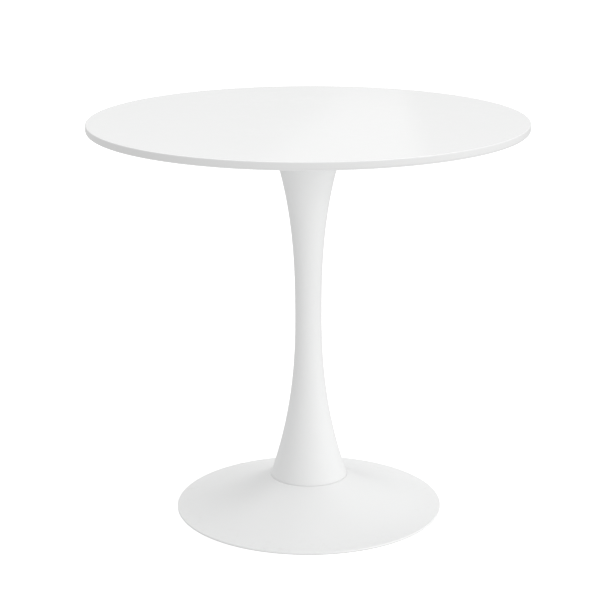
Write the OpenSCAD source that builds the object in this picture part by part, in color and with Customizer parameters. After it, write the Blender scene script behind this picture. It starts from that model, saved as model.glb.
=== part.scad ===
// Round pedestal table. A lacquered disc top is screwed to a steel plate, the
// plate sits on a trumpet-shaped steel column, and the column stands on a low
// domed steel base with a cast-iron weight inside. One threaded rod on the axis
// clamps plate, column and base together.
// The origin is on the floor, on the column's axis. +Z is up.

/* [Table] */
// Height of the tabletop's upper face above the floor
table_height = 740; // [715:5:760]
// Diameter of the tabletop
top_diameter = 800; // [700:10:900]
// Diameter of the base
base_diameter = 500; // [460:5:560]

/* [Tabletop] */
// Thickness of the tabletop
top_thickness = 15; // [14:1:22]
// Radius of its upper edge
upper_edge_radius = 2; // [1:0.5:4]
// Radius of its lower edge
lower_edge_radius = 5; // [1:0.5:6]

/* [Fixing plate] */
// Diameter of the steel plate under the tabletop
plate_diameter = 260; // [245:5:320]
// Thickness of that plate
plate_thickness = 4; // [3:0.5:6]
// Diameter of the circle that the screws stand on
screw_circle = 220; // [190:5:225]
// Number of screws into the tabletop
screw_count = 8; // [4:1:12]

/* [Column] */
// Radius of the column at its waist
waist_radius = 24.7; // [22:0.1:30]
// Height of the waist above the floor
waist_height = 372; // [340:2:400]
// Radius of the column's mouth, under the fixing plate
mouth_radius = 75; // [72:0.5:80]
// Radius of the column's foot, on the base
foot_radius = 72.2; // [66:0.2:74]
// Shape of the upper flare: 2 is a parabola, more keeps it slim for longer
upper_flare_power = 2.58; // [2:0.02:3]
// Shape of the lower flare
lower_flare_power = 2.22; // [2:0.02:3]
// Wall thickness of the column
column_wall = 2; // [1.5:0.5:3]

/* [Base] */
// Height of the base's flat crown above the floor
crown_height = 62; // [54:1:68]
// Radius of the flat crown
crown_radius = 74; // [74:0.5:78]
// Height of the rim above the floor
rim_height = 4.5; // [4:0.5:6]
// Shape of the dome: 1 is a cone, more makes it hollow near the foot
dome_power = 2; // [1.4:0.1:2.6]
// Wall thickness of the base
base_wall = 2; // [1.5:0.5:2.5]

/* [Weight] */
// Radius of the cast-iron weight
weight_radius = 145; // [120:5:150]
// Thickness of its disc
weight_thickness = 12; // [8:1:13]
// Number of ribs between its hub and its disc
rib_count = 6; // [4:1:8]

/* [Hidden] */
$fn = 96;

// Radial clearance between pieces that are screwed or pushed together
fit_gap = 0.05;
// Straight pieces that stand for each curved profile
column_steps = 90;
dome_steps = 48;
arc_steps = 6;

// Heights, from the top down
top_under = table_height - top_thickness;
mouth_z = top_under - plate_thickness;
gasket_thickness = 0.5;
foot_z = crown_height + gasket_thickness;

// Mouth of the column: a welded ring, and a collar on the plate that fits in it
ring_thickness = 4;
ring_bore_radius = 58;
ring_z = mouth_z - ring_thickness;
collar_radius = ring_bore_radius - 0.3;
collar_wall = 3;
collar_depth = 12;

// Foot of the column
disc_thickness = 4;
disc_top = foot_z + disc_thickness;
foot_lip_radius = 0.5;
gasket_radius = foot_radius - 0.6;
gasket_bore_radius = 30;

// Base shell
base_radius = base_diameter / 2;
rim_round = 1.5;
dome_radius = base_radius - rim_round;
hem_width = 10;
floor_ring_thickness = 1.5;
floor_ring_inset = 1;
floor_ring_width = 8.5;
crown_plate_radius = 65;
crown_plate_thickness = 5;
crown_plate_z = crown_height - base_wall - crown_plate_thickness;

// Cast weight
weight_z = 4;
weight_top = weight_z + weight_thickness;
hub_radius = 30;
nut_recess_radius = 22;
nut_recess_depth = 20;
rib_width = 8;
rib_reach = weight_radius - 20;
rib_drop = 4;

// Tie rod and what is on it, M12
rod_radius = 6;
rod_hole_radius = 6.5;
rod_engagement = 28;
coupling_length = 36;
m12_across_flats = 18;
washer_radius = 15;
washer_thickness = 2.5;
spring_washer_radius = 10.5;
spring_washer_thickness = 3;
spring_washer_slit = 1.5;
nut_height = 10;
washer_z = weight_z + nut_recess_depth - washer_thickness;
spring_washer_z = washer_z - spring_washer_thickness;
nut_z = spring_washer_z - nut_height;
rod_low = nut_z - 3;
rod_high = mouth_z - coupling_length + rod_engagement;

// Screws into the tabletop, M6 x 14, and their inserts
screw_radius = 3 - fit_gap;
screw_length = 14;
screw_hole_radius = 3.5;
screw_head_radius = 5.25;
screw_head_height = 3.3;
screw_head_edge = 0.8;
socket_across_flats = 4;
socket_depth = 1.9;
screw_washer_radius = 6;
screw_washer_bore = 3.2;
screw_washer_thickness = 1.6;
insert_radius = 5;
insert_length = 12;

// Locating pins
pin_radius = 2.5;
mouth_pin_circle = 65;
foot_pin_circle = 45;
pin_end_gap = 0.5;

// Radius of the column's outside at height z
function column_radius(z) = z > waist_height
    ? waist_radius + (mouth_radius - waist_radius)
        * pow((z - waist_height) / (mouth_z - waist_height), upper_flare_power)
    : waist_radius + (foot_radius - waist_radius)
        * pow((waist_height - z) / (waist_height - foot_z), lower_flare_power);

// A point of the column's inside at height z
function column_inside(z) = [column_radius(z) - column_wall, z];

// Height of the dome's outside at radius r
function dome_height(r) = rim_height + (crown_height - rim_height)
    * pow((dome_radius - r) / (dome_radius - crown_radius), dome_power);

// Value i of count steps from a to b
function step_value(a, b, i, count) = a + (b - a) * i / count;

// Points of an arc about a centre, from one angle to another
function arc_points(centre, radius, from, to) = [
    for (i = [0:arc_steps])
        let (angle = step_value(from, to, i, arc_steps))
        centre + radius * [cos(angle), sin(angle)]
];

// A ring between two radii and two heights
module ring(inner, outer, low, high) {
    translate([0, 0, low])
        difference() {
            cylinder(r = outer, h = high - low);
            translate([0, 0, -1])
                cylinder(r = inner, h = high - low + 2);
        }
}

// A round bar between two heights with its ends chamfered
module chamfered_bar(radius, low, high, chamfer) {
    rotate_extrude()
        polygon([
            [0, low],
            [radius - chamfer, low],
            [radius, low + chamfer],
            [radius, high - chamfer],
            [radius - chamfer, high],
            [0, high]
        ]);
}

// A hexagon nut whose corners are turned down, standing on z = 0
module hex_nut(across_flats, height, bore) {
    corner = across_flats / 2 / cos(30);
    face = across_flats / 2 - 0.3;
    chamfer = (corner - face) * tan(30);
    difference() {
        intersection() {
            cylinder(r = corner, h = height, $fn = 6);
            rotate_extrude()
                polygon([
                    [0, 0],
                    [face, 0],
                    [corner + 0.01, chamfer],
                    [corner + 0.01, height - chamfer],
                    [face, height],
                    [0, height]
                ]);
        }
        translate([0, 0, -1])
            cylinder(r = bore, h = height + 2);
    }
}

// Places its children at each screw
module at_screws() {
    for (i = [0:screw_count - 1])
        rotate([0, 0, (i + 0.5) * 360 / screw_count])
            translate([screw_circle / 2, 0, 0])
                children();
}

// Places its children at the two pins on a circle of the given radius
module at_pins(circle) {
    for (side = [-1, 1])
        translate([side * circle, 0, 0])
            children();
}

// Holes for the two pins
module pin_holes(circle, low, high) {
    at_pins(circle)
        translate([0, 0, low])
            cylinder(r = pin_radius + fit_gap, h = high - low);
}

// Fibreboard disc with lacquer all round and blind holes for the inserts
module tabletop() {
    outer = top_diameter / 2;
    color("white")
        difference() {
            rotate_extrude() {
                translate([0, top_under])
                    square([outer - lower_edge_radius, top_thickness]);
                translate([0, top_under + lower_edge_radius])
                    square([outer, top_thickness - lower_edge_radius - upper_edge_radius]);
                translate([0, top_under + lower_edge_radius])
                    square([outer - upper_edge_radius, top_thickness - lower_edge_radius]);
                translate([outer - lower_edge_radius, top_under + lower_edge_radius])
                    circle(r = lower_edge_radius);
                translate([outer - upper_edge_radius, table_height - upper_edge_radius])
                    circle(r = upper_edge_radius);
            }
            at_screws()
                translate([0, 0, top_under - 1])
                    cylinder(r = insert_radius + fit_gap, h = insert_length + 1);
        }
}

// Steel inserts glued into the tabletop, one for each screw
module threaded_inserts() {
    color("goldenrod")
        at_screws()
            ring(screw_radius + fit_gap, insert_radius, top_under, top_under + insert_length);
}

// Round steel plate that carries the tabletop
module mounting_plate() {
    outer = plate_diameter / 2;
    chamfer = 1;
    color("whitesmoke")
        difference() {
            rotate_extrude()
                polygon([
                    [0, mouth_z],
                    [outer - chamfer, mouth_z],
                    [outer, mouth_z + chamfer],
                    [outer, top_under],
                    [0, top_under]
                ]);
            at_screws()
                translate([0, 0, mouth_z - 1])
                    cylinder(r = screw_hole_radius, h = plate_thickness + 2);
            pin_holes(mouth_pin_circle, mouth_z - 1, top_under + 1);
        }
}

// Short collar welded under the plate, which centres the plate in the column
module plate_collar() {
    color("whitesmoke")
        ring(collar_radius - collar_wall, collar_radius, mouth_z - collar_depth, mouth_z);
}

// One button-head screw: bearing face at z = 0, head below, shank above
module plate_screw() {
    crown = screw_head_height - screw_head_edge;
    dome = (screw_head_radius * screw_head_radius + crown * crown) / (2 * crown);
    difference() {
        intersection() {
            translate([0, 0, -screw_head_height])
                cylinder(r = screw_head_radius, h = screw_head_height);
            translate([0, 0, dome - screw_head_height])
                sphere(r = dome);
        }
        translate([0, 0, -screw_head_height - 1])
            cylinder(r = socket_across_flats / 2 / cos(30), h = socket_depth + 1, $fn = 6);
    }
    chamfered_bar(screw_radius, -0.5, screw_length, 0.6);
}

// Screws up through the plate into the inserts
module plate_screws() {
    color("silver")
        at_screws()
            translate([0, 0, mouth_z - screw_washer_thickness])
                plate_screw();
}

// Washers under the screw heads
module plate_washers() {
    color("silver")
        at_screws()
            ring(screw_washer_bore, screw_washer_radius,
                mouth_z - screw_washer_thickness, mouth_z);
}

// Long M12 nut welded under the plate, which takes the tie rod's upper end
module coupling_nut() {
    color("silver")
        translate([0, 0, mouth_z - coupling_length])
            hex_nut(m12_across_flats, coupling_length, rod_radius + fit_gap);
}

// Pins that stop the plate turning on the column
module mouth_pins() {
    color("silver")
        at_pins(mouth_pin_circle)
            chamfered_bar(pin_radius, ring_z + pin_end_gap, top_under - pin_end_gap, 0.4);
}

// Spun steel column: a slim waist that flares to its mouth and its foot
module column() {
    lip_centre = [column_radius(foot_z + foot_lip_radius) - foot_lip_radius,
        foot_z + foot_lip_radius];
    outside = [
        for (i = [1:column_steps])
            let (z = step_value(foot_z + foot_lip_radius, mouth_z, i, column_steps))
            [column_radius(z), z]
    ];
    inside = [
        for (i = [0:column_steps])
            column_inside(step_value(ring_z, disc_top, i, column_steps))
    ];
    color("white")
        rotate_extrude()
            polygon(concat(
                arc_points(lip_centre, foot_lip_radius, -90, 0),
                outside,
                [column_inside(mouth_z)],
                inside,
                [column_inside(foot_z)]
            ));
}

// Ring welded in the column's mouth, which bears on the plate
module column_top_ring() {
    color("lightgrey")
        difference() {
            rotate_extrude()
                polygon([
                    [ring_bore_radius, ring_z],
                    column_inside(ring_z),
                    column_inside(mouth_z),
                    [ring_bore_radius, mouth_z]
                ]);
            pin_holes(mouth_pin_circle, ring_z - 1, mouth_z + 1);
        }
}

// Disc welded in the column's foot, which bears on the base
module column_foot_disc() {
    color("lightgrey")
        difference() {
            rotate_extrude()
                polygon([
                    [rod_hole_radius, foot_z],
                    column_inside(foot_z),
                    column_inside(disc_top),
                    [rod_hole_radius, disc_top]
                ]);
            pin_holes(foot_pin_circle, foot_z - 1, disc_top + 1);
        }
}

// Thin gasket between column and base, set back from the column's edge
module foot_gasket() {
    color("dimgrey")
        difference() {
            ring(gasket_bore_radius, gasket_radius, crown_height, foot_z);
            pin_holes(foot_pin_circle, crown_height - 1, foot_z + 1);
        }
}

// Pins that stop the column turning on the base
module foot_pins() {
    color("silver")
        at_pins(foot_pin_circle)
            chamfered_bar(pin_radius, crown_plate_z + pin_end_gap, disc_top - pin_end_gap, 0.4);
}

// Spun steel dome with a flat crown, a hollow curve and a hemmed rim
module base_shell() {
    hem_radius = base_radius - hem_width;
    outside = [
        for (i = [0:dome_steps])
            let (r = step_value(crown_radius, dome_radius, i, dome_steps))
            [r, dome_height(r)]
    ];
    inside = [
        for (i = [0:dome_steps])
            let (r = step_value(hem_radius, crown_radius, i, dome_steps))
            [r, dome_height(r) - base_wall]
    ];
    color("white")
        difference() {
            rotate_extrude()
                polygon(concat(
                    [[rod_hole_radius, crown_height]],
                    outside,
                    arc_points([dome_radius, rim_height - rim_round], rim_round, 75, 0),
                    [[base_radius, floor_ring_thickness], [hem_radius, floor_ring_thickness]],
                    inside,
                    [[rod_hole_radius, crown_height - base_wall]]
                ));
            pin_holes(foot_pin_circle, crown_height - base_wall - 1, crown_height + 1);
        }
}

// Stiffening plate welded under the crown
module crown_plate() {
    chamfer = 1;
    color("lightgrey")
        difference() {
            rotate_extrude()
                polygon([
                    [rod_hole_radius, crown_plate_z],
                    [crown_plate_radius - chamfer, crown_plate_z],
                    [crown_plate_radius, crown_plate_z + chamfer],
                    [crown_plate_radius, crown_height - base_wall],
                    [rod_hole_radius, crown_height - base_wall]
                ]);
            pin_holes(foot_pin_circle, crown_plate_z - 1, crown_height);
        }
}

// Cast-iron weight: a disc, a hub under the crown plate, and ribs between them
module cast_weight() {
    draft = 2;
    rib_foot = weight_top - 1;
    color("dimgrey")
        difference() {
            union() {
                rotate_extrude()
                    polygon([
                        [0, weight_z],
                        [weight_radius - draft, weight_z],
                        [weight_radius, weight_z + draft],
                        [weight_radius - draft, weight_top],
                        [hub_radius + draft, weight_top],
                        [hub_radius, crown_plate_z],
                        [0, crown_plate_z]
                    ]);
                for (i = [0:rib_count - 1])
                    rotate([90, 0, (i + 0.5) * 360 / rib_count])
                        translate([0, 0, -rib_width / 2])
                            linear_extrude(height = rib_width)
                                polygon([
                                    [hub_radius - 4, rib_foot],
                                    [rib_reach, rib_foot],
                                    [rib_reach, weight_top + 2],
                                    [hub_radius - 4, crown_plate_z - rib_drop]
                                ]);
            }
            translate([0, 0, weight_z - 1])
                cylinder(r = nut_recess_radius, h = nut_recess_depth + 1);
            translate([0, 0, weight_z])
                cylinder(r = rod_hole_radius, h = crown_plate_z);
        }
}

// Threaded rod that clamps plate, column, base and weight together
module tie_rod() {
    color("silver")
        chamfered_bar(rod_radius, rod_low, rod_high, 1);
}

// Wide washer under the weight's hub
module rod_washer() {
    color("silver")
        ring(rod_hole_radius, washer_radius, washer_z, washer_z + washer_thickness);
}

// Split spring washer between the wide washer and the nut
module rod_spring_washer() {
    color("silver")
        difference() {
            ring(rod_hole_radius, spring_washer_radius, spring_washer_z, washer_z);
            translate([0, 0, spring_washer_z + spring_washer_thickness / 2])
                rotate([20, 0, 0])
                    translate([0, -spring_washer_slit / 2, -spring_washer_thickness])
                        cube([spring_washer_radius + 1, spring_washer_slit,
                            2 * spring_washer_thickness]);
        }
}

// Nut on the tie rod's lower end
module rod_nut() {
    color("silver")
        translate([0, 0, nut_z])
            hex_nut(m12_across_flats, nut_height, rod_radius + fit_gap);
}

// Soft ring glued under the rim, on which the table stands
module floor_ring() {
    outer = base_radius - floor_ring_inset;
    inner = outer - floor_ring_width;
    chamfer = 0.4;
    color("gainsboro")
        rotate_extrude()
            polygon([
                [inner + chamfer, 0],
                [outer - chamfer, 0],
                [outer, chamfer],
                [outer, floor_ring_thickness],
                [inner, floor_ring_thickness],
                [inner, chamfer]
            ]);
}

tabletop();
threaded_inserts();
mounting_plate();
plate_collar();
plate_screws();
plate_washers();
coupling_nut();
mouth_pins();
column();
column_top_ring();
column_foot_disc();
foot_gasket();
foot_pins();
base_shell();
crown_plate();
cast_weight();
tie_rod();
rod_washer();
rod_spring_washer();
rod_nut();
floor_ring();
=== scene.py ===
"""Looks of the round pedestal table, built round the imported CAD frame.

Everything is in metres in the CAD frame: origin on the floor at the column's axis, +Z up, and the
viewer on the -Y side. The visible pieces are turned and cut here as fine meshes in the places of
their CAD nodes. Small pieces that nobody sees stay CAD nodes with a finished material.
"""

import math

import bmesh
import bpy
from mathutils import Matrix, Vector


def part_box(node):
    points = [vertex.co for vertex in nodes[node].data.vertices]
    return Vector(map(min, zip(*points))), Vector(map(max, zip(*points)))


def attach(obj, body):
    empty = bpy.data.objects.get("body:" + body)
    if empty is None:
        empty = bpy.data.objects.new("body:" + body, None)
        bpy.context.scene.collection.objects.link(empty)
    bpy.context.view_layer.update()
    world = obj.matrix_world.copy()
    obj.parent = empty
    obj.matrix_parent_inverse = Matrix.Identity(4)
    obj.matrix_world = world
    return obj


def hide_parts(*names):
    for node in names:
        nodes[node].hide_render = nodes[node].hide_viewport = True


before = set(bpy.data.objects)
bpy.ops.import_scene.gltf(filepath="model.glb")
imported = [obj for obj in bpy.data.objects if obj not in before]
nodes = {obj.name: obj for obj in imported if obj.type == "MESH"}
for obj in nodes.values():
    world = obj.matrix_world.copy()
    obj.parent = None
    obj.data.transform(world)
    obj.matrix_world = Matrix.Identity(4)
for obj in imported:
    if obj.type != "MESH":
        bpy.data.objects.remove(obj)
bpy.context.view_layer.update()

MM = 0.001
ROOT = "root"
CLEAR = 1 * MM  # how far a cutter stands past a face
WELD = 0.002 * MM  # slivers that a boolean leaves, far below any real detail
SHARP_ANGLE = 35


# ---------------------------------------------------------------- sizes from the frame

def low(node):
    """Height of a node's lowest point."""
    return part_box(node)[0].z


def high(node):
    """Height of a node's highest point."""
    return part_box(node)[1].z


def reach(node):
    """Largest radius of a node about the column's axis."""
    return max(math.hypot(v.co.x, v.co.y) for v in nodes[node].data.vertices)


TOP_RADIUS = reach("tabletop")
BASE_RADIUS = reach("base_shell")
PLATE_RADIUS = reach("mounting_plate")
MOUTH_Z = high("column")
FOOT_Z = low("column")
CROWN_Z = high("base_shell")

# The column's outside: a waist, and a flare to each end that grows as a power of the distance
WAIST_RADIUS = 24.7 * MM
WAIST_Z = 372 * MM
MOUTH_RADIUS = 75 * MM
FOOT_RADIUS = 72.2 * MM
UPPER_POWER = 2.58
LOWER_POWER = 2.22
COLUMN_WALL = 2 * MM
FOOT_LIP = 0.5 * MM
GASKET_BORE = 30 * MM

# The base's outside: a flat crown, then a hollow curve down to the rim
CROWN_RADIUS = 74 * MM
CROWN_ROUND = 2.5 * MM
RIM_Z = 4.5 * MM
RIM_ROUND = 1.5 * MM
DOME_POWER = 2
BASE_WALL = 2 * MM
HEM_WIDTH = 10 * MM
FLOOR_RING_WIDTH = 8.5 * MM

# The top's edges
UPPER_EDGE = 2 * MM
LOWER_EDGE = 5 * MM
EDGE_SUPPORT = 0.6 * MM

# The weight under the crown
WEIGHT_RADIUS = 145 * MM
WEIGHT_DISC = 12 * MM
HUB_RADIUS = 30 * MM
RECESS_RADIUS = 22 * MM
RECESS_Z = 24 * MM
RIB_COUNT = 6
RIB_WIDTH = 8 * MM

# Holes, pins, screws and nuts
ROD_RADIUS = 6 * MM
ROD_HOLE = 6.5 * MM
ROD_PLAIN = 5.4 * MM
LOWER_THREAD = 45 * MM
UPPER_THREAD = 60 * MM
ROD_PITCH = 1.75 * MM
THREAD_DEPTH = 0.61  # as a share of the pitch
PIN_HOLE = 2.55 * MM
MOUTH_PIN_CIRCLE = 65 * MM
FOOT_PIN_CIRCLE = 45 * MM
SCREW_CIRCLE = 110 * MM
SCREW_COUNT = 8
SCREW_RADIUS = 2.95 * MM
SCREW_PITCH = 1 * MM
SCREW_HOLE = 3.5 * MM
HEAD_RADIUS = 5.25 * MM
HEAD_HEIGHT = 3.3 * MM
HEAD_EDGE = 0.8 * MM
SOCKET_FLATS = 4 * MM
SOCKET_DEPTH = 1.9 * MM
WASHER_THICKNESS = 1.6 * MM
WASHER_INNER = 3.2 * MM
WASHER_OUTER = 6 * MM
INSERT_HOLE = 5.05 * MM
INSERT_DEPTH = 12 * MM
LATHE_TURN = 21000.0  # radians per metre, for rings 0.3 mm apart
NUT_FLATS = 18 * MM


def column_radius(z):
    """Outside radius of the column at a height."""
    if z > WAIST_Z:
        share = (z - WAIST_Z) / (MOUTH_Z - WAIST_Z)
        return WAIST_RADIUS + (MOUTH_RADIUS - WAIST_RADIUS) * share ** UPPER_POWER
    share = (WAIST_Z - z) / (WAIST_Z - FOOT_Z)
    return WAIST_RADIUS + (FOOT_RADIUS - WAIST_RADIUS) * share ** LOWER_POWER


def dome_height(r):
    """Outside height of the base at a radius."""
    edge = BASE_RADIUS - RIM_ROUND
    share = (edge - r) / (edge - CROWN_RADIUS)
    return RIM_Z + (CROWN_Z - RIM_Z) * share ** DOME_POWER


# ---------------------------------------------------------------- mesh making

def spread(a, b, count):
    """count + 1 evenly spaced values from a to b."""
    return [a + (b - a) * i / count for i in range(count + 1)]


def arc(centre, radius, start, end, count=8):
    """Outline points of an arc, with its angles in degrees from +R towards +Z."""
    angles = [math.radians(a) for a in spread(start, end, count)]
    return [(centre[0] + radius * math.cos(a), centre[1] + radius * math.sin(a)) for a in angles]


def box_outline(inner, outer, bottom, top, edge):
    """Outline of a ring whose four edges are rounded."""
    return [
        *arc((outer - edge, bottom + edge), edge, -90, 0, 4),
        *arc((outer - edge, top - edge), edge, 0, 90, 4),
        *arc((inner + edge, top - edge), edge, 90, 180, 4),
        *arc((inner + edge, bottom + edge), edge, 180, 270, 4),
    ]


def ring(radius, z, segments):
    """Row of points round the axis."""
    angles = [2 * math.pi * i / segments for i in range(segments)]
    return [(radius * math.cos(a), radius * math.sin(a), z) for a in angles]


def hex_ring(limit, flats, z, segments):
    """Row of points along a hexagon with a corner on +X, cut back to a round limit."""
    sixth = math.pi / 3
    row = []
    for i in range(segments):
        angle = 2 * math.pi * i / segments
        radius = min(limit, flats / 2 / math.cos(angle % sixth - sixth / 2))
        row.append((radius * math.cos(angle), radius * math.sin(angle), z))
    return row


def thread_rows(crest, pitch, bottom, top, segments, steps=8):
    """Rows of an outside thread that rises from nothing at both ends."""
    rows = []
    for z in spread(bottom, top, round((top - bottom) / pitch * steps)):
        fade = min(1, (z - bottom) / pitch, (top - z) / pitch)
        row = []
        for i in range(segments):
            turn = (z / pitch - i / segments) % 1
            groove = min(1, max(0, 1.25 * abs(2 * turn - 1) - 0.125))
            radius = crest - THREAD_DEPTH * pitch * groove * fade
            angle = 2 * math.pi * i / segments
            row.append((radius * math.cos(angle), radius * math.sin(angle), z))
        rows.append(row)
    return rows


def moved(rows, x, y, z=0.0):
    """The same rows in another place."""
    return [[(px + x, py + y, pz + z) for px, py, pz in row] for row in rows]


def skin(bm, rows):
    """Joins closed rows of points, each to the next one and the last to the first."""
    made = []
    for row in rows:
        if len(set(row)) == 1:
            made.append([bm.verts.new(row[0])] * len(row))
        else:
            made.append([bm.verts.new(point) for point in row])
    for row, following in zip(made, made[1:] + made[:1]):
        for i in range(len(row)):
            j = (i + 1) % len(row)
            corners = dict.fromkeys([row[i], row[j], following[j], following[i]])
            if len(corners) > 2:
                bm.faces.new(list(corners))


def revolve(bm, outline, segments):
    """Turns a closed outline of (radius, height) points about the axis."""
    skin(bm, [ring(max(radius, 0), z, segments) for radius, z in outline])


def finished_object(name, bm, sharp_angle=SHARP_ANGLE):
    """An object from bm, smooth apart from edges sharper than an angle in degrees."""
    bmesh.ops.recalc_face_normals(bm, faces=bm.faces)
    mesh = bpy.data.meshes.new(name)
    bm.to_mesh(mesh)
    bm.free()
    mesh.shade_smooth()
    mesh.set_sharp_from_angle(angle=math.radians(sharp_angle))
    piece = bpy.data.objects.new(name, mesh)
    bpy.context.scene.collection.objects.link(piece)
    return piece


def turned(name, outline, segments=256):
    """A piece turned from one closed outline."""
    bm = bmesh.new()
    revolve(bm, outline, segments)
    return finished_object(name, bm)


def combine(piece, tool, operation):
    """Cuts a tool from a piece or joins it on, and keeps smooth and sharp edges."""
    step = piece.modifiers.new("shape", "BOOLEAN")
    step.operation = operation
    step.solver = "EXACT"
    step.object = tool
    depsgraph = bpy.context.evaluated_depsgraph_get()
    result = bpy.data.meshes.new_from_object(piece.evaluated_get(depsgraph))
    piece.modifiers.clear()
    piece.data = result
    bpy.data.objects.remove(tool)
    bm = bmesh.new()
    bm.from_mesh(result)
    bmesh.ops.dissolve_degenerate(bm, dist=WELD, edges=bm.edges)
    bm.to_mesh(result)
    bm.free()
    result.set_sharp_from_angle(angle=math.radians(SHARP_ANGLE))


def drill(piece, places, radius, bottom, top):
    """Cuts round holes along Z through a piece."""
    cutter = bmesh.new()
    for x, y in places:
        bmesh.ops.create_cone(
            cutter, cap_ends=True, segments=48, radius1=radius, radius2=radius, depth=top - bottom,
            matrix=Matrix.Translation((x, y, (top + bottom) / 2)),
        )
    combine(piece, finished_object("cutter", cutter), "DIFFERENCE")


def on_circle(radius, count, turn=0.0):
    """Evenly spaced places on a circle, the first one turned by a share of a step."""
    angles = [2 * math.pi * (i + turn) / count for i in range(count)]
    return [(radius * math.cos(a), radius * math.sin(a)) for a in angles]


# ---------------------------------------------------------------- materials

class Nodes:
    """Short names for building one material's node tree."""

    def __init__(self, name, **values):
        self.material = bpy.data.materials.new(name)
        self.material.use_nodes = True
        self.tree = self.material.node_tree
        self.shader = self.tree.nodes["Principled BSDF"]
        self.place = self.add("ShaderNodeTexCoord").outputs["Object"]
        for key, value in values.items():
            self.shader.inputs[key.replace("_", " ")].default_value = value

    def add(self, kind, **settings):
        node = self.tree.nodes.new(kind)
        for key, value in settings.items():
            setattr(node, key, value)
        return node

    def link(self, source, target):
        self.tree.links.new(source, target)

    def to(self, name, source):
        """Feeds one input of the shader."""
        self.link(source, self.shader.inputs[name])

    def noise(self, scale, detail=2.0, roughness=0.5, stretch=None):
        node = self.add("ShaderNodeTexNoise")
        node.inputs["Scale"].default_value = scale
        node.inputs["Detail"].default_value = detail
        node.inputs["Roughness"].default_value = roughness
        place = self.place
        if stretch:
            mapping = self.add("ShaderNodeMapping")
            mapping.inputs["Scale"].default_value = stretch
            self.link(place, mapping.inputs["Vector"])
            place = mapping.outputs["Vector"]
        self.link(place, node.inputs["Vector"])
        return node.outputs["Fac"]

    def math(self, operation, first, second):
        node = self.add("ShaderNodeMath", operation=operation)
        for value, socket in zip((first, second), node.inputs):
            if isinstance(value, (int, float)):
                socket.default_value = value
            else:
                self.link(value, socket)
        return node.outputs["Value"]

    def axis(self, name):
        """One coordinate of the point, in metres."""
        node = self.add("ShaderNodeSeparateXYZ")
        self.link(self.place, node.inputs["Vector"])
        return node.outputs[name]

    def distance_from_axis(self):
        flat = self.add("ShaderNodeVectorMath", operation="MULTIPLY")
        self.link(self.place, flat.inputs[0])
        flat.inputs[1].default_value = (1, 1, 0)
        length = self.add("ShaderNodeVectorMath", operation="LENGTH")
        self.link(flat.outputs["Vector"], length.inputs[0])
        return length.outputs["Value"]

    def remap(self, value, low_in, high_in, low_out, high_out):
        node = self.add("ShaderNodeMapRange")
        self.link(value, node.inputs["Value"])
        for key, number in zip(("From Min", "From Max", "To Min", "To Max"),
                               (low_in, high_in, low_out, high_out)):
            node.inputs[key].default_value = number
        return node.outputs["Result"]

    def blend(self, share, first, second):
        """Mixes two colours, each a triple or another node's colour."""
        node = self.add("ShaderNodeMix", data_type="RGBA")
        self.link(share, node.inputs["Factor"])
        for value, socket in ((first, node.inputs["A"]), (second, node.inputs["B"])):
            if isinstance(value, tuple):
                socket.default_value = (*value, 1)
            else:
                self.link(value, socket)
        return node.outputs["Result"]

    def bump(self, height, distance, strength=1.0, under=None):
        node = self.add("ShaderNodeBump")
        node.inputs["Distance"].default_value = distance
        node.inputs["Strength"].default_value = strength
        self.link(height, node.inputs["Height"])
        if under:
            self.link(under, node.inputs["Normal"])
        return node.outputs["Normal"]


def lacquer():
    """Sprayed gloss lacquer on board: a faint orange peel, rubbed spots a little duller, and
    painted shade that greys the side edge.
    """
    n = Nodes("white_lacquer", IOR=1.5)
    white = n.blend(n.noise(3.0, 2), (0.868, 0.872, 0.870), (0.876, 0.880, 0.878))
    # Painted shade: the board's outermost half millimetre, its upright side, is coloured grey to
    # stand in for the shade on the edge; the lacquer is the same all over.
    side = n.remap(n.distance_from_axis(), TOP_RADIUS - 1.2 * MM, TOP_RADIUS - 0.5 * MM, 0.0, 1.0)
    n.to("Base Color", n.blend(side, white, (0.77, 0.772, 0.77)))
    rubbed = n.remap(n.noise(7.0, 3), 0.45, 0.75, 0.0, 0.02)
    n.to("Roughness", n.math("ADD", rubbed, n.remap(n.noise(60.0, 4), 0.3, 0.7, 0.11, 0.14)))
    peel = n.bump(n.noise(260.0, 2), 0.00002, 0.35)
    n.to("Normal", n.bump(n.noise(40.0, 2), 0.00004, 0.15, peel))
    return n.material


def powder_coat():
    """Fine powder coat on steel: even white, a soft pebbled skin, and scuffs low on the base."""
    n = Nodes("white_powder_coat")
    white = n.blend(n.noise(6.0, 3), (0.845, 0.85, 0.848), (0.868, 0.872, 0.87))
    low_down = n.remap(n.axis("Z"), 0.002, 0.011, 1.0, 0.0)
    speckle = n.remap(n.noise(70.0, 5, 0.7), 0.56, 0.70, 0.0, 0.4)
    scuffed = n.math("MULTIPLY", low_down, speckle)
    n.to("Base Color", n.blend(scuffed, white, (0.74, 0.73, 0.71)))
    plain = n.remap(n.noise(120.0, 4), 0.3, 0.7, 0.36, 0.48)
    n.to("Roughness", n.math("ADD", plain, n.math("MULTIPLY", scuffed, 0.3)))
    pebble = n.bump(n.noise(900.0, 3), 0.00004, 0.4)
    n.to("Normal", n.bump(n.noise(150.0, 3), 0.00005, 0.12, pebble))
    return n.material


def zinc_plate():
    """Bright zinc: fine lathe rings about the table's axis, and a faint blue and straw cast."""
    n = Nodes("zinc_plate", Metallic=1.0)
    n.to("Base Color", n.blend(n.noise(90.0, 3), (0.66, 0.68, 0.70), (0.74, 0.72, 0.66)))
    n.to("Roughness", n.remap(n.noise(400.0, 4), 0.3, 0.7, 0.26, 0.44))
    grain = n.bump(n.noise(2500.0, 2), 0.000012, 0.5)
    turns = n.math("MULTIPLY", n.distance_from_axis(), LATHE_TURN)
    rings = n.math("SINE", turns, 0.0)
    n.to("Normal", n.bump(rings, 0.000003, 0.4, grain))
    return n.material


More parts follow.
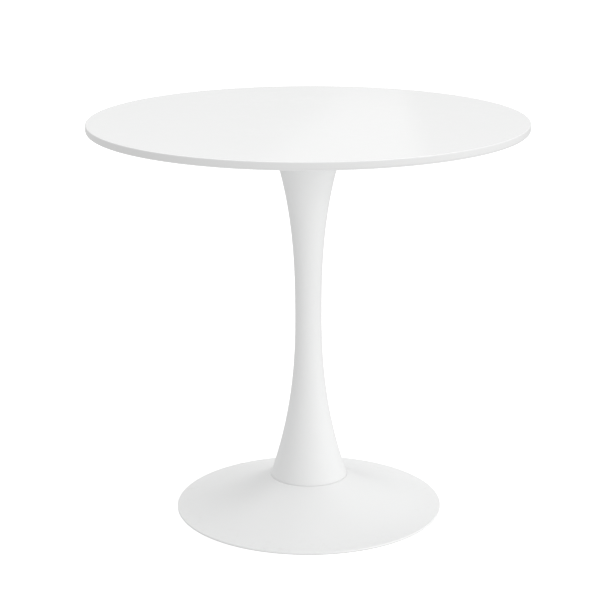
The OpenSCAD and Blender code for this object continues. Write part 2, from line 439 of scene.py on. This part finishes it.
def brass():
    """Turned brass with slight browning."""
    n = Nodes("turned_brass", Metallic=1.0)
    n.to("Base Color", n.blend(n.noise(160.0, 4), (0.78, 0.60, 0.30), (0.60, 0.42, 0.20)))
    n.to("Roughness", n.remap(n.noise(500.0, 3), 0.3, 0.7, 0.28, 0.46))
    n.to("Normal", n.bump(n.noise(1800.0, 2), 0.00002, 0.5))
    return n.material


def cast_iron():
    """Sand-cast iron under a thin black paint, worn to grey on the high grains."""
    n = Nodes("painted_cast_iron")
    grain = n.noise(320.0, 6, 0.65)
    paint = n.blend(n.noise(25.0, 4), (0.035, 0.035, 0.037), (0.06, 0.058, 0.056))
    worn = n.remap(grain, 0.62, 0.72, 0.0, 0.8)
    n.to("Base Color", n.blend(worn, paint, (0.16, 0.155, 0.15)))
    n.to("Roughness", n.remap(n.noise(60.0, 4), 0.3, 0.7, 0.55, 0.78))
    sand = n.bump(grain, 0.0004, 0.55)
    n.to("Normal", n.bump(n.noise(35.0, 3), 0.0015, 0.3, sand))
    return n.material


def gasket_foam():
    """Closed-cell foam sheet, nearly white and matt."""
    n = Nodes("gasket_foam")
    n.to("Base Color", n.blend(n.noise(300.0, 3), (0.76, 0.76, 0.76), (0.82, 0.82, 0.81)))
    n.to("Roughness", n.remap(n.noise(200.0, 3), 0.3, 0.7, 0.7, 0.9))
    n.to("Normal", n.bump(n.noise(1200.0, 2), 0.0001, 0.5))
    return n.material


def floor_plastic():
    """Soft clear-grey plastic, duller and browner where it meets the floor."""
    n = Nodes("soft_plastic", IOR=1.45)
    dirt = n.remap(n.axis("Z"), 0.0, 0.0008, 0.6, 0.0)
    grey = n.blend(n.noise(20.0, 3), (0.66, 0.66, 0.655), (0.72, 0.72, 0.71))
    n.to("Base Color", n.blend(n.math("MULTIPLY", dirt, n.noise(45.0, 4)), grey, (0.35, 0.33, 0.3)))
    n.to("Roughness", n.remap(n.noise(150.0, 3), 0.3, 0.7, 0.38, 0.58))
    n.to("Normal", n.bump(n.noise(700.0, 3), 0.00006, 0.5))
    return n.material


FINISHES = {
    "lacquered_board": lacquer(),
    "powder_coat": powder_coat(),
    "zinc_plate": zinc_plate(),
    "brass": brass(),
    "cast_iron": cast_iron(),
    "gasket_rubber": gasket_foam(),
    "floor_plastic": floor_plastic(),
}


def dress(piece, slot, *replaced):
    """Gives a new piece its finish and body, and hides the CAD nodes it stands for."""
    piece.data.materials.clear()
    piece.data.materials.append(FINISHES[slot])
    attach(piece, ROOT)
    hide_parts(*replaced)
    return piece


def keep(node, slot):
    """Gives a CAD node that stays its finish."""
    for place in nodes[node].material_slots:
        place.material = FINISHES[slot]


# ---------------------------------------------------------------- top and plate

def make_tabletop():
    bottom, top = low("tabletop"), high("tabletop")
    outline = [
        (0, bottom),
        (PLATE_RADIUS, bottom),
        (TOP_RADIUS - LOWER_EDGE - EDGE_SUPPORT, bottom),
        *arc((TOP_RADIUS - LOWER_EDGE, bottom + LOWER_EDGE), LOWER_EDGE, -90, 0, 14),
        *arc((TOP_RADIUS - UPPER_EDGE, top - UPPER_EDGE), UPPER_EDGE, 0, 90, 10),
        (TOP_RADIUS - UPPER_EDGE - EDGE_SUPPORT, top),
        (TOP_RADIUS / 2, top),
        (0, top),
    ]
    piece = turned("tabletop_lacquered", outline, 384)
    drill(piece, on_circle(SCREW_CIRCLE, SCREW_COUNT, 0.5), INSERT_HOLE,
          bottom - CLEAR, bottom + INSERT_DEPTH)
    dress(piece, "lacquered_board", "tabletop")


def make_mounting_plate():
    bottom, top = low("mounting_plate"), high("mounting_plate")
    edge = 1 * MM
    outline = [
        (0, bottom),
        (PLATE_RADIUS - edge - 0.4 * MM, bottom),
        *arc((PLATE_RADIUS - edge, bottom + edge), edge, -90, 0, 6),
        (PLATE_RADIUS, top),
        (0, top),
    ]
    piece = turned("fixing_plate", outline, 192)
    drill(piece, on_circle(SCREW_CIRCLE, SCREW_COUNT, 0.5), SCREW_HOLE,
          bottom - CLEAR, top + CLEAR)
    drill(piece, on_circle(MOUTH_PIN_CIRCLE, 2), PIN_HOLE, bottom - CLEAR, top + CLEAR)
    dress(piece, "powder_coat", "mounting_plate")


def screw_rows(segments=48):
    """Button-head screw with its bearing face on z = 0 and its head below."""
    crown = HEAD_HEIGHT - HEAD_EDGE
    dome = (HEAD_RADIUS ** 2 + crown ** 2) / (2 * crown)
    face = -HEAD_HEIGHT

    def dome_z(point):
        return face + dome - math.sqrt(dome ** 2 - point[0] ** 2 - point[1] ** 2)

    def on_dome(row):
        return [(x, y, dome_z((x, y))) for x, y, _ in row]

    socket = face + SOCKET_DEPTH
    wide = 1.5 * SOCKET_FLATS
    length = high("plate_screws") - high("plate_washers") + WASHER_THICKNESS
    return [
        ring(0, socket + 0.4 * MM, segments),
        hex_ring(wide, SOCKET_FLATS, socket, segments),
        hex_ring(wide, SOCKET_FLATS, face + 0.5 * MM, segments),
        on_dome(hex_ring(wide, SOCKET_FLATS + 0.3 * MM, 0, segments)),
        *[on_dome(ring(r, 0, segments)) for r in spread(0.52 * HEAD_RADIUS, HEAD_RADIUS, 8)],
        ring(HEAD_RADIUS, -0.15 * MM, segments),
        ring(HEAD_RADIUS - 0.15 * MM, 0, segments),
        ring(SCREW_RADIUS + 0.1 * MM, 0, segments),
        ring(SCREW_RADIUS, 0.1 * MM, segments),
        *thread_rows(SCREW_RADIUS, SCREW_PITCH, 1 * MM, length - 0.6 * MM, segments, 6),
        ring(SCREW_RADIUS - 0.6 * MM, length, segments),
        ring(0, length, segments),
    ]


def make_plate_screws():
    """All eight screws, each turned a little differently, as hand-driven screws are."""
    bm = bmesh.new()
    z = high("plate_washers") - WASHER_THICKNESS
    for number, (x, y) in enumerate(on_circle(SCREW_CIRCLE, SCREW_COUNT, 0.5)):
        turn = Matrix.Rotation(math.radians(23 * number), 3, "Z")
        rows = [[tuple(turn @ Vector(point)) for point in row] for row in screw_rows()]
        skin(bm, moved(rows, x, y, z))
    piece = finished_object("button_head_screws", bm, 30)
    dress(piece, "zinc_plate", "plate_screws")


def make_plate_washers():
    bm = bmesh.new()
    bottom, top = low("plate_washers"), high("plate_washers")
    outline = box_outline(WASHER_INNER, WASHER_OUTER, bottom, top, 0.2 * MM)
    rows = [ring(radius, z, 48) for radius, z in outline]
    for x, y in on_circle(SCREW_CIRCLE, SCREW_COUNT, 0.5):
        skin(bm, moved(rows, x, y))
    dress(finished_object("screw_washers", bm), "zinc_plate", "plate_washers")


# ---------------------------------------------------------------- column and base

def make_column():
    lip_z = FOOT_Z + FOOT_LIP
    outside = [(column_radius(z), z) for z in spread(lip_z, MOUTH_Z, 160)]
    inside = [(r - COLUMN_WALL, z) for r, z in reversed(outside)]
    lip = arc((column_radius(lip_z) - FOOT_LIP, lip_z), FOOT_LIP, -90, 0, 8)[:-1]
    foot = [(column_radius(FOOT_Z) - COLUMN_WALL, FOOT_Z)]
    piece = turned("column_spun", lip + outside + inside + foot, 192)
    dress(piece, "powder_coat", "column")


def make_foot_gasket():
    outer = reach("foot_gasket")
    bottom, top = low("foot_gasket"), high("foot_gasket")
    piece = turned("foot_gasket_sheet", box_outline(GASKET_BORE, outer, bottom, top, 0.1 * MM), 192)
    drill(piece, on_circle(FOOT_PIN_CIRCLE, 2), PIN_HOLE, bottom - CLEAR, top + CLEAR)
    dress(piece, "gasket_rubber", "foot_gasket")


def crown_shoulder():
    """Outline points of the rounded edge between the flat crown and the dome."""
    slope = (dome_height(CROWN_RADIUS + 1 * MM) - CROWN_Z) / (1 * MM)
    turn = -math.degrees(math.atan(slope))
    setback = CROWN_ROUND * math.tan(math.radians(turn / 2))
    centre = (CROWN_RADIUS - setback, CROWN_Z - CROWN_ROUND)
    return arc(centre, CROWN_ROUND, 90, 90 - turn, 6)


def make_base_shell():
    edge = BASE_RADIUS - RIM_ROUND
    hem_radius = BASE_RADIUS - HEM_WIDTH
    rim_bottom = high("floor_ring")
    shoulder = crown_shoulder()
    outside = [(r, dome_height(r)) for r in spread(shoulder[-1][0] + 0.5 * MM, edge, 90)]
    inside = [(r, dome_height(r) - BASE_WALL) for r in spread(hem_radius, CROWN_RADIUS, 80)]
    outline = [
        (ROD_HOLE, CROWN_Z),
        (shoulder[0][0] - 0.5 * MM, CROWN_Z),
        *shoulder,
        *outside,
        *arc((edge, RIM_Z - RIM_ROUND), RIM_ROUND, 90, 0, 8)[1:],
        (BASE_RADIUS, rim_bottom),
        (hem_radius, rim_bottom),
        *inside,
        (ROD_HOLE, CROWN_Z - BASE_WALL),
    ]
    piece = turned("base_dome", outline, 320)
    drill(piece, on_circle(FOOT_PIN_CIRCLE, 2), PIN_HOLE, CROWN_Z - 5 * MM, CROWN_Z + 5 * MM)
    dress(piece, "powder_coat", "base_shell")


def make_floor_ring():
    outer = reach("floor_ring")
    bottom, top = low("floor_ring"), high("floor_ring")
    outline = box_outline(outer - FLOOR_RING_WIDTH, outer, bottom, top, 0.4 * MM)
    dress(turned("floor_ring_soft", outline, 256), "floor_plastic", "floor_ring")


# ---------------------------------------------------------------- weight and rod

def make_cast_weight():
    bottom, top = low("cast_weight"), high("cast_weight")
    disc_top = bottom + WEIGHT_DISC
    small, wide = 1.5 * MM, 4 * MM
    outline = [
        (ROD_HOLE, RECESS_Z),
        (RECESS_RADIUS - small, RECESS_Z),
        *arc((RECESS_RADIUS - small, RECESS_Z - small), small, 90, 0, 4)[1:],
        *arc((RECESS_RADIUS + small, bottom + small), small, 180, 270, 4),
        *arc((WEIGHT_RADIUS - 2 * MM, bottom + 2 * MM), 2 * MM, -90, 0, 6),
        *arc((WEIGHT_RADIUS - 2 * MM, disc_top - 2 * MM), 2 * MM, 0, 90, 6),
        *arc((HUB_RADIUS + wide, disc_top + wide), wide, 270, 180, 6),
        *arc((HUB_RADIUS - small, top - small), small, 0, 90, 4),
        (ROD_HOLE, top),
    ]
    piece = turned("weight_casting", outline, 192)
    foot, crest = disc_top - 1 * MM, top - 4 * MM
    inner, outer = HUB_RADIUS - 4 * MM, WEIGHT_RADIUS - 20 * MM
    ribs = bmesh.new()
    for number in range(RIB_COUNT):
        turn = Matrix.Rotation(2 * math.pi * (number + 0.5) / RIB_COUNT, 3, "Z")
        sides = []
        for y in (-RIB_WIDTH / 2, RIB_WIDTH / 2):
            outline = [(inner, y, foot), (outer, y, foot), (outer, y, disc_top + 2 * MM),
                       (inner, y, crest)]
            sides.append([ribs.verts.new(turn @ Vector(point)) for point in outline])
        ribs.faces.new(sides[0])
        ribs.faces.new(sides[1])
        for i in range(4):
            j = (i + 1) % 4
            ribs.faces.new([sides[0][i], sides[0][j], sides[1][j], sides[1][i]])
    combine(piece, finished_object("ribs", ribs), "UNION")
    dress(piece, "cast_iron", "cast_weight")


def nut_rows(bottom, top, bore, segments=96):
    """Hexagon nut with turned-down corners and chamfered bore."""
    corner = NUT_FLATS / 2 / math.cos(math.pi / 6)
    face = NUT_FLATS / 2 - 0.3 * MM
    chamfer = (corner - face) * math.tan(math.pi / 6)
    lead = 0.6 * MM
    rising = [hex_ring(face + (corner - face) * t, NUT_FLATS, bottom + chamfer * t, segments)
              for t in spread(0, 1, 8)]
    falling = [hex_ring(face + (corner - face) * t, NUT_FLATS, top - chamfer * t, segments)
               for t in spread(1, 0, 8)]
    return [
        ring(bore, bottom + lead, segments),
        ring(bore + lead, bottom, segments),
        *rising,
        *falling,
        ring(bore + lead, top, segments),
        ring(bore, top - lead, segments),
    ]


def make_nut(name, node):
    bm = bmesh.new()
    skin(bm, nut_rows(low(node), high(node), ROD_RADIUS + 0.05 * MM))
    dress(finished_object(name, bm, 20), "zinc_plate", node)


def make_tie_rod():
    """Rod with a rolled thread at each end and a plain middle."""
    bottom, top = low("tie_rod"), high("tie_rod")
    segments, chamfer = 40, 1 * MM
    lower_end, upper_start = bottom + LOWER_THREAD, top - UPPER_THREAD
    bm = bmesh.new()
    skin(bm, [
        ring(0, bottom, segments),
        ring(ROD_RADIUS - chamfer, bottom, segments),
        *thread_rows(ROD_RADIUS, ROD_PITCH, bottom + chamfer, lower_end, segments),
        ring(ROD_PLAIN, lower_end + chamfer, segments),
        ring(ROD_PLAIN, upper_start - chamfer, segments),
        *thread_rows(ROD_RADIUS, ROD_PITCH, upper_start, top - chamfer, segments),
        ring(ROD_RADIUS - chamfer, top, segments),
        ring(0, top, segments),
    ])
    dress(finished_object("tie_rod_threaded", bm, 40), "zinc_plate", "tie_rod")


def make_rod_washer():
    outline = box_outline(ROD_HOLE, reach("rod_washer"), low("rod_washer"), high("rod_washer"),
                          0.3 * MM)
    dress(turned("rod_washer_wide", outline, 96), "zinc_plate", "rod_washer")


make_tabletop()
make_mounting_plate()
make_plate_screws()
make_plate_washers()
make_column()
make_foot_gasket()
make_base_shell()
make_floor_ring()
make_cast_weight()
make_nut("rod_nut_hex", "rod_nut")
make_nut("coupling_nut_long", "coupling_nut")
make_tie_rod()
make_rod_washer()

keep("threaded_inserts", "brass")
for hidden_steel in ("plate_collar", "column_top_ring", "column_foot_disc", "crown_plate"):
    keep(hidden_steel, "powder_coat")
for hidden_zinc in ("mouth_pins", "foot_pins", "rod_spring_washer"):
    keep(hidden_zinc, "zinc_plate")


# ---------------------------------------------------------------- stage, light and camera

def glow(name, colour, strength):
    """A plain emitting material for the stage."""
    material = bpy.data.materials.new(name)
    material.use_nodes = True
    tree = material.node_tree
    tree.nodes.clear()
    emission = tree.nodes.new("ShaderNodeEmission")
    emission.inputs["Color"].default_value = (*colour, 1)
    emission.inputs["Strength"].default_value = strength
    output = tree.nodes.new("ShaderNodeOutputMaterial")
    tree.links.new(emission.outputs[0], output.inputs["Surface"])
    return material


def make_floor():
    """A white floor that curves up into a far wall.

    Only the camera sees it, so it neither tints nor lights the table.
    """
    bm = bmesh.new()
    cove = arc((FLOOR_RADIUS, COVE_RADIUS), COVE_RADIUS, -90, 0, 12)
    outline = [*cove, (FLOOR_RADIUS + COVE_RADIUS, WALL_HEIGHT)]
    rows = [[bm.verts.new(point) for point in ring(r, z, 64)] for r, z in outline]
    for row, following in zip(rows, rows[1:]):
        for i in range(len(row)):
            bm.faces.new([row[i - 1], row[i], following[i], following[i - 1]])
    bm.faces.new(rows[0])
    floor = finished_object("floor", bm)
    material = bpy.data.materials.new("white_floor")
    material.use_nodes = True
    tree = material.node_tree
    shader = tree.nodes["Principled BSDF"]
    shader.inputs["Base Color"].default_value = (0.8, 0.8, 0.8, 1)
    shader.inputs["Roughness"].default_value = 1.0
    shader.inputs["Specular IOR Level"].default_value = 0.0
    shader.inputs["Emission Color"].default_value = (1, 1, 1, 1)
    shader.inputs["Emission Strength"].default_value = FLOOR_GLOW
    floor.data.materials.append(material)
    floor.visible_diffuse = False
    floor.visible_glossy = False
    floor.visible_transmission = False
    floor.visible_shadow = False


def make_world():
    world = bpy.data.worlds.new("studio")
    bpy.context.scene.world = world
    world.use_nodes = True
    background = world.node_tree.nodes["Background"]
    background.inputs["Color"].default_value = (1, 1, 1, 1)
    background.inputs["Strength"].default_value = AMBIENT


def make_camera():
    """The photograph's view: a long lens, a little above the tabletop and slightly rolled."""
    data = bpy.data.cameras.new("camera")
    data.sensor_width = 36
    data.lens = CAMERA_LENS
    data.clip_end = 200
    camera = bpy.data.objects.new("camera", data)
    bpy.context.scene.collection.objects.link(camera)
    pitch = math.radians(90 - CAMERA_DOWN)
    roll = math.radians(CAMERA_ROLL)
    place = Matrix.Translation(CAMERA_PLACE)
    camera.matrix_world = place @ Matrix.Rotation(pitch, 4, "X") @ Matrix.Rotation(roll, 4, "Z")
    bpy.context.scene.camera = camera


def soft_light(name, azimuth, elevation, strength):
    """Wide distant light. Azimuth 0 comes from the viewer's side and 90 from the right.

    A low light stays out of the gloss, where it would wash out the tabletop seen against it.
    """
    data = bpy.data.lights.new(name, "SUN")
    data.energy = strength
    data.angle = math.radians(LIGHT_SPREAD)
    light = bpy.data.objects.new(name, data)
    bpy.context.scene.collection.objects.link(light)
    light.visible_glossy = elevation > LOW_LIGHT
    turn, rise = math.radians(azimuth), math.radians(elevation)
    source = Vector((
        math.sin(turn) * math.cos(rise), -math.cos(turn) * math.cos(rise), math.sin(rise),
    ))
    light.rotation_mode = "QUATERNION"
    light.rotation_quaternion = (-source).to_track_quat("-Z", "Y")


def make_reflection_card():
    """A glowing trapezoid behind the table, out of view, whose gloss shows on the tabletop."""
    bm = bmesh.new()
    corners = [bm.verts.new(c) for c in CARD_CORNERS]
    bm.faces.new(corners)
    card = finished_object("reflection_card", bm)
    card.data.materials.append(glow("card_glow", (1, 1, 1), CARD_GLOW))
    card.visible_camera = False
    card.visible_diffuse = False
    card.visible_shadow = False


CAMERA_LENS = 109.2
CAMERA_DOWN = 15.453
CAMERA_ROLL = -0.18
CAMERA_PLACE = (-0.0091, -3.2887, 1.3049)
AMBIENT = 0.686
FLOOR_RADIUS = 30
COVE_RADIUS = 10
WALL_HEIGHT = 60
FLOOR_GLOW = 0.5
LIGHT_SPREAD = 40
LOW_LIGHT = 30
CARD_Y = 3.0
CARD_GLOW = 0.84
CARD_CORNERS = [(0.147, CARD_Y, 1.16), (0.323, CARD_Y, 1.16),
                (0.447, CARD_Y, 1.45), (-0.19, CARD_Y, 1.45)]
# Name, azimuth, elevation and strength. The last two stand for light off the white floor.
LIGHTS = [
    ("key_high_right", 90, 60, 0.852),
    ("window_front_right", 45, 8, 0.70),
    ("fill_high_back_left", 225, 60, 0.549),
    ("fill_front_right", 45, 60, 0.063),
    ("overhead", 0, 90, 0.083),
    ("floor_bounce_right", 90, -25, 0.227),
    ("floor_bounce_front", 0, -25, 0.195),
]

make_floor()
make_world()
make_camera()
make_reflection_card()
for light in LIGHTS:
    soft_light(*light)
bpy.context.scene.view_settings.view_transform = "Standard"
